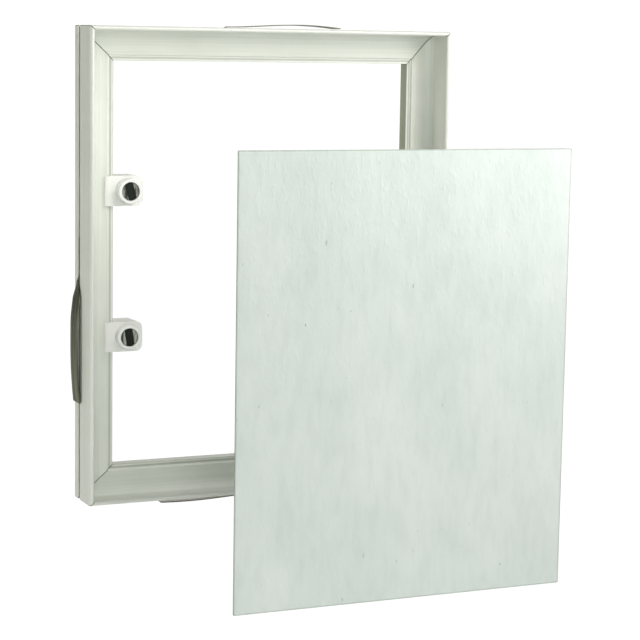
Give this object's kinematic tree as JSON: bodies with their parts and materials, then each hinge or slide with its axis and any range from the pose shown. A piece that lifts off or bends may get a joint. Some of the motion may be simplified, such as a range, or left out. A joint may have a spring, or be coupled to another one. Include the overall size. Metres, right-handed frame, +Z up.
{
  "type": "magnetic access panel",
  "caption": "Mitred white plastic frame with a deep tile recess, adjustable magnets, gripping leaf springs and a loose steel plate that carries a wall tile.",
  "frame": {"origin": "middle of the bottom rail's outer face, 11 mm behind the frame's front edge", "axes": "+Z up, +Y back into the wall, +X to the right as seen from the room"},
  "size_m": [0.2417, 0.1282, 0.3028],
  "materials": {
    "white_pvc": "extruded white PVC, satin, with faint draw lines along the profile",
    "key_plastic": "moulded grey plastic",
    "white_moulding": "moulded white plastic, satin",
    "white_sleeve": "moulded white plastic, satin",
    "black_ferrite": "pressed ferrite, matt and slightly grainy",
    "bright_steel": "bright sheared steel",
    "spring_steel": "dark tempered spring steel strip",
    "galvanised_steel": "galvanised sheet, satin, with faint streaks and small dents"
  },
  "bodies": {
    "frame": {"rail_left": "white_pvc", "rail_right": "white_pvc", "rail_top": "white_pvc", "rail_bottom": "white_pvc", "corner_key_top_left": "key_plastic", "corner_key_top_right": "key_plastic", "corner_key_bottom_left": "key_plastic", "corner_key_bottom_right": "key_plastic", "magnet_lug_upper_left": "white_moulding", "magnet_lug_lower_left": "white_moulding", "magnet_lug_upper_right": "white_moulding", "magnet_lug_lower_right": "white_moulding"},
    "sleeve_upper_left": {"threaded_sleeve_upper_left": "white_sleeve"},
    "sleeve_lower_left": {"threaded_sleeve_lower_left": "white_sleeve"},
    "sleeve_upper_right": {"threaded_sleeve_upper_right": "white_sleeve"},
    "sleeve_lower_right": {"threaded_sleeve_lower_right": "white_sleeve"},
    "magnet_upper_left": {"magnet_block_upper_left": "black_ferrite", "pole_plate_a_upper_left": "bright_steel", "pole_plate_b_upper_left": "bright_steel"},
    "magnet_lower_left": {"magnet_block_lower_left": "black_ferrite", "pole_plate_a_lower_left": "bright_steel", "pole_plate_b_lower_left": "bright_steel"},
    "magnet_upper_right": {"magnet_block_upper_right": "black_ferrite", "pole_plate_a_upper_right": "bright_steel", "pole_plate_b_upper_right": "bright_steel"},
    "magnet_lower_right": {"magnet_block_lower_right": "black_ferrite", "pole_plate_a_lower_right": "bright_steel", "pole_plate_b_lower_right": "bright_steel"},
    "leaf_left": {"leaf_spring_left": "spring_steel"},
    "leaf_right": {"leaf_spring_right": "spring_steel"},
    "leaf_top": {"leaf_spring_top": "spring_steel"},
    "leaf_bottom": {"leaf_spring_bottom": "spring_steel"},
    "plate": {"steel_plate": "galvanised_steel"}
  },
  "joints": [
    {"name": "plate_lift_off", "type": "slide", "parent": "frame", "child": "plate", "axis": [-0.2923, 0.8623, 0.4136], "range_m": [0, 0.1228]},
    {"name": "sleeve_travel_upper_left", "type": "slide", "parent": "frame", "child": "sleeve_upper_left", "axis": [0, -1, 0], "range_m": [-0.0041, 0]},
    {"name": "sleeve_travel_lower_left", "type": "slide", "parent": "frame", "child": "sleeve_lower_left", "axis": [0, -1, 0], "range_m": [-0.003, 0.0012]},
    {"name": "sleeve_travel_upper_right", "type": "slide", "parent": "frame", "child": "sleeve_upper_right", "axis": [0, -1, 0], "range_m": [-0.0041, 0]},
    {"name": "sleeve_travel_lower_right", "type": "slide", "parent": "frame", "child": "sleeve_lower_right", "axis": [0, -1, 0], "range_m": [-0.003, 0.0012]},
    {"name": "magnet_turn_upper_left", "type": "hinge", "parent": "sleeve_upper_left", "child": "magnet_upper_left", "pos_m": [-0.0804, 0.001, 0.1708], "axis": [0, -1, 0], "range_deg": [-984.5, 0.5]},
    {"name": "magnet_turn_lower_left", "type": "hinge", "parent": "sleeve_lower_left", "child": "magnet_lower_left", "pos_m": [-0.0804, 0.0022, 0.0904], "axis": [0, -1, 0], "range_deg": [-720.5, 288.5]},
    {"name": "magnet_turn_upper_right", "type": "hinge", "parent": "sleeve_upper_right", "child": "magnet_upper_right", "pos_m": [0.0804, 0.001, 0.1708], "axis": [0, -1, 0], "range_deg": [-984.5, 0.5]},
    {"name": "magnet_turn_lower_right", "type": "hinge", "parent": "sleeve_lower_right", "child": "magnet_lower_right", "pos_m": [0.0804, 0.0022, 0.0904], "axis": [0, -1, 0], "range_deg": [-720.5, 288.5]},
    {"name": "leaf_slide_left", "type": "slide", "parent": "frame", "child": "leaf_left", "axis": [0, 0, 1], "range_m": [-0.04, 0.08]},
    {"name": "leaf_slide_right", "type": "slide", "parent": "frame", "child": "leaf_right", "axis": [0, 0, 1], "range_m": [-0.04, 0.08]},
    {"name": "leaf_slide_top", "type": "slide", "parent": "frame", "child": "leaf_top", "axis": [1, 0, 0], "range_m": [-0.035, 0.05]},
    {"name": "leaf_slide_bottom", "type": "slide", "parent": "frame", "child": "leaf_bottom", "axis": [1, 0, 0], "range_m": [-0.04, 0.07]}
  ],
  "couplings": [
    {"joint": "magnet_turn_upper_left", "follows": "sleeve_travel_upper_left", "rad_per_m": 4188.8},
    {"joint": "magnet_turn_lower_left", "follows": "sleeve_travel_lower_left", "rad_per_m": 4188.8},
    {"joint": "magnet_turn_upper_right", "follows": "sleeve_travel_upper_right", "rad_per_m": 4188.8},
    {"joint": "magnet_turn_lower_right", "follows": "sleeve_travel_lower_right", "rad_per_m": 4188.8}
  ]
}
